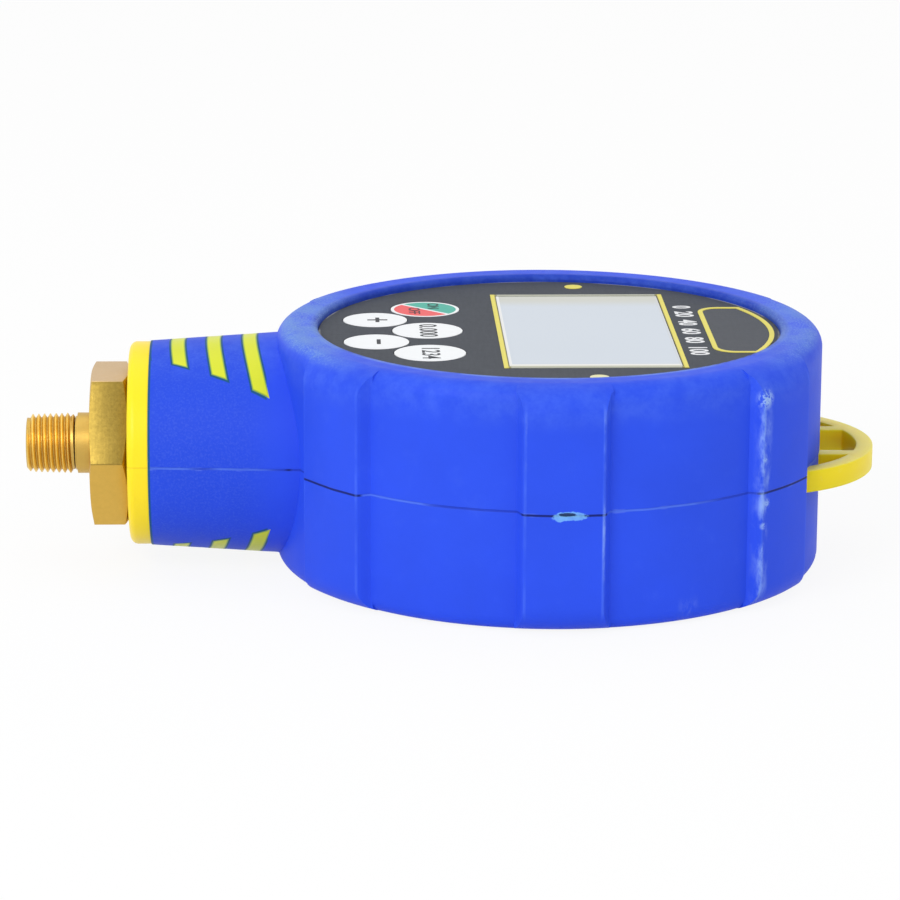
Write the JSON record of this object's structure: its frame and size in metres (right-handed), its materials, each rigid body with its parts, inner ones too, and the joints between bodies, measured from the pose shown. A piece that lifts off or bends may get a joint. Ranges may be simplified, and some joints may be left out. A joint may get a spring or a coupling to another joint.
{
  "type": "digital pressure gauge",
  "caption": "Round digital pressure gauge with a padded soft grip over hard shells, a display, press keys, a brass threaded stem and a hanging loop.",
  "frame": {"origin": "centre of the case's flat back, on the axis of the round dial", "axes": "+X from the stem's tip towards the hanging loop, +Z out of the dial, +Y the far side of the picture"},
  "size_m": [0.1384, 0.0926, 0.039],
  "materials": {
    "grip_blue": "satin, moulded soft grip, slightly scuffed",
    "shell_yellow": "smooth moulded plastic",
    "loop_yellow": "smooth moulded plastic",
    "overlay_grey": "fine-grained printed sheet",
    "print_yellow": "flat print",
    "clear_window": "polished",
    "key_white": "satin print",
    "key_red_green": "satin print, half red and half green",
    "switch_black": "moulded",
    "frame_black": "moulded",
    "lcd_glass": "polished",
    "diffuser_white": "translucent",
    "strip_grey": "moulded",
    "board_green": "lacquered board",
    "steel": "turned",
    "chip_black": "moulded",
    "socket_cream": "moulded",
    "ribbon_amber": "film",
    "brass": "turned, dulled",
    "seal_black": "moulded",
    "capsule_steel": "turned",
    "pin_gold": "plated",
    "cell_jacket": "bare jacket, no wording",
    "contact_spring": "plated",
    "lead_red": "insulated wire"
  },
  "bodies": {
    "gauge": {"front_grip": "grip_blue", "rear_grip": "grip_blue", "front_shell": "shell_yellow", "rear_shell": "shell_yellow", "hanging_loop": "loop_yellow", "face_overlay": "overlay_grey", "overlay_print": "print_yellow", "display_window": "clear_window", "tact_switches": "switch_black", "lcd_frame": "frame_black", "lcd_glass": "lcd_glass", "backlight_panel": "diffuser_white", "contact_strips": "strip_grey", "main_board": "board_green", "board_screws": "steel", "board_chips": "chip_black", "ribbon_socket": "socket_cream", "sensor_ribbon": "ribbon_amber", "brass_stem": "brass", "stem_seal": "seal_black", "sensor_capsule": "capsule_steel", "sensor_pins": "pin_gold", "sensor_seal": "seal_black", "sensor_ring": "brass", "battery_cells": "cell_jacket", "battery_contacts": "contact_spring", "battery_leads": "lead_red", "case_screws": "steel"},
    "power_key": {"key_power": "key_red_green"},
    "zero_key": {"key_zero": "key_white"},
    "unit_key": {"key_unit": "key_white"},
    "up_key": {"key_up": "key_white"},
    "down_key": {"key_down": "key_white"},
    "battery_cover": {"battery_door": "shell_yellow", "door_screws": "steel"}
  },
  "joints": [
    {"name": "power_press", "type": "slide", "parent": "gauge", "child": "power_key", "axis": [0, 0, -1], "range_m": [0, 0.0003], "stiffness_N_per_m": 4000},
    {"name": "zero_press", "type": "slide", "parent": "gauge", "child": "zero_key", "axis": [0, 0, -1], "range_m": [0, 0.0003], "stiffness_N_per_m": 4000},
    {"name": "unit_press", "type": "slide", "parent": "gauge", "child": "unit_key", "axis": [0, 0, -1], "range_m": [0, 0.0003], "stiffness_N_per_m": 4000},
    {"name": "up_press", "type": "slide", "parent": "gauge", "child": "up_key", "axis": [0, 0, -1], "range_m": [0, 0.0003], "stiffness_N_per_m": 4000},
    {"name": "down_press", "type": "slide", "parent": "gauge", "child": "down_key", "axis": [0, 0, -1], "range_m": [0, 0.0003], "stiffness_N_per_m": 4000},
    {"name": "battery_cover_lift", "type": "slide", "parent": "gauge", "child": "battery_cover", "axis": [0, 0, -1], "range_m": [0, 0.012]}
  ]
}
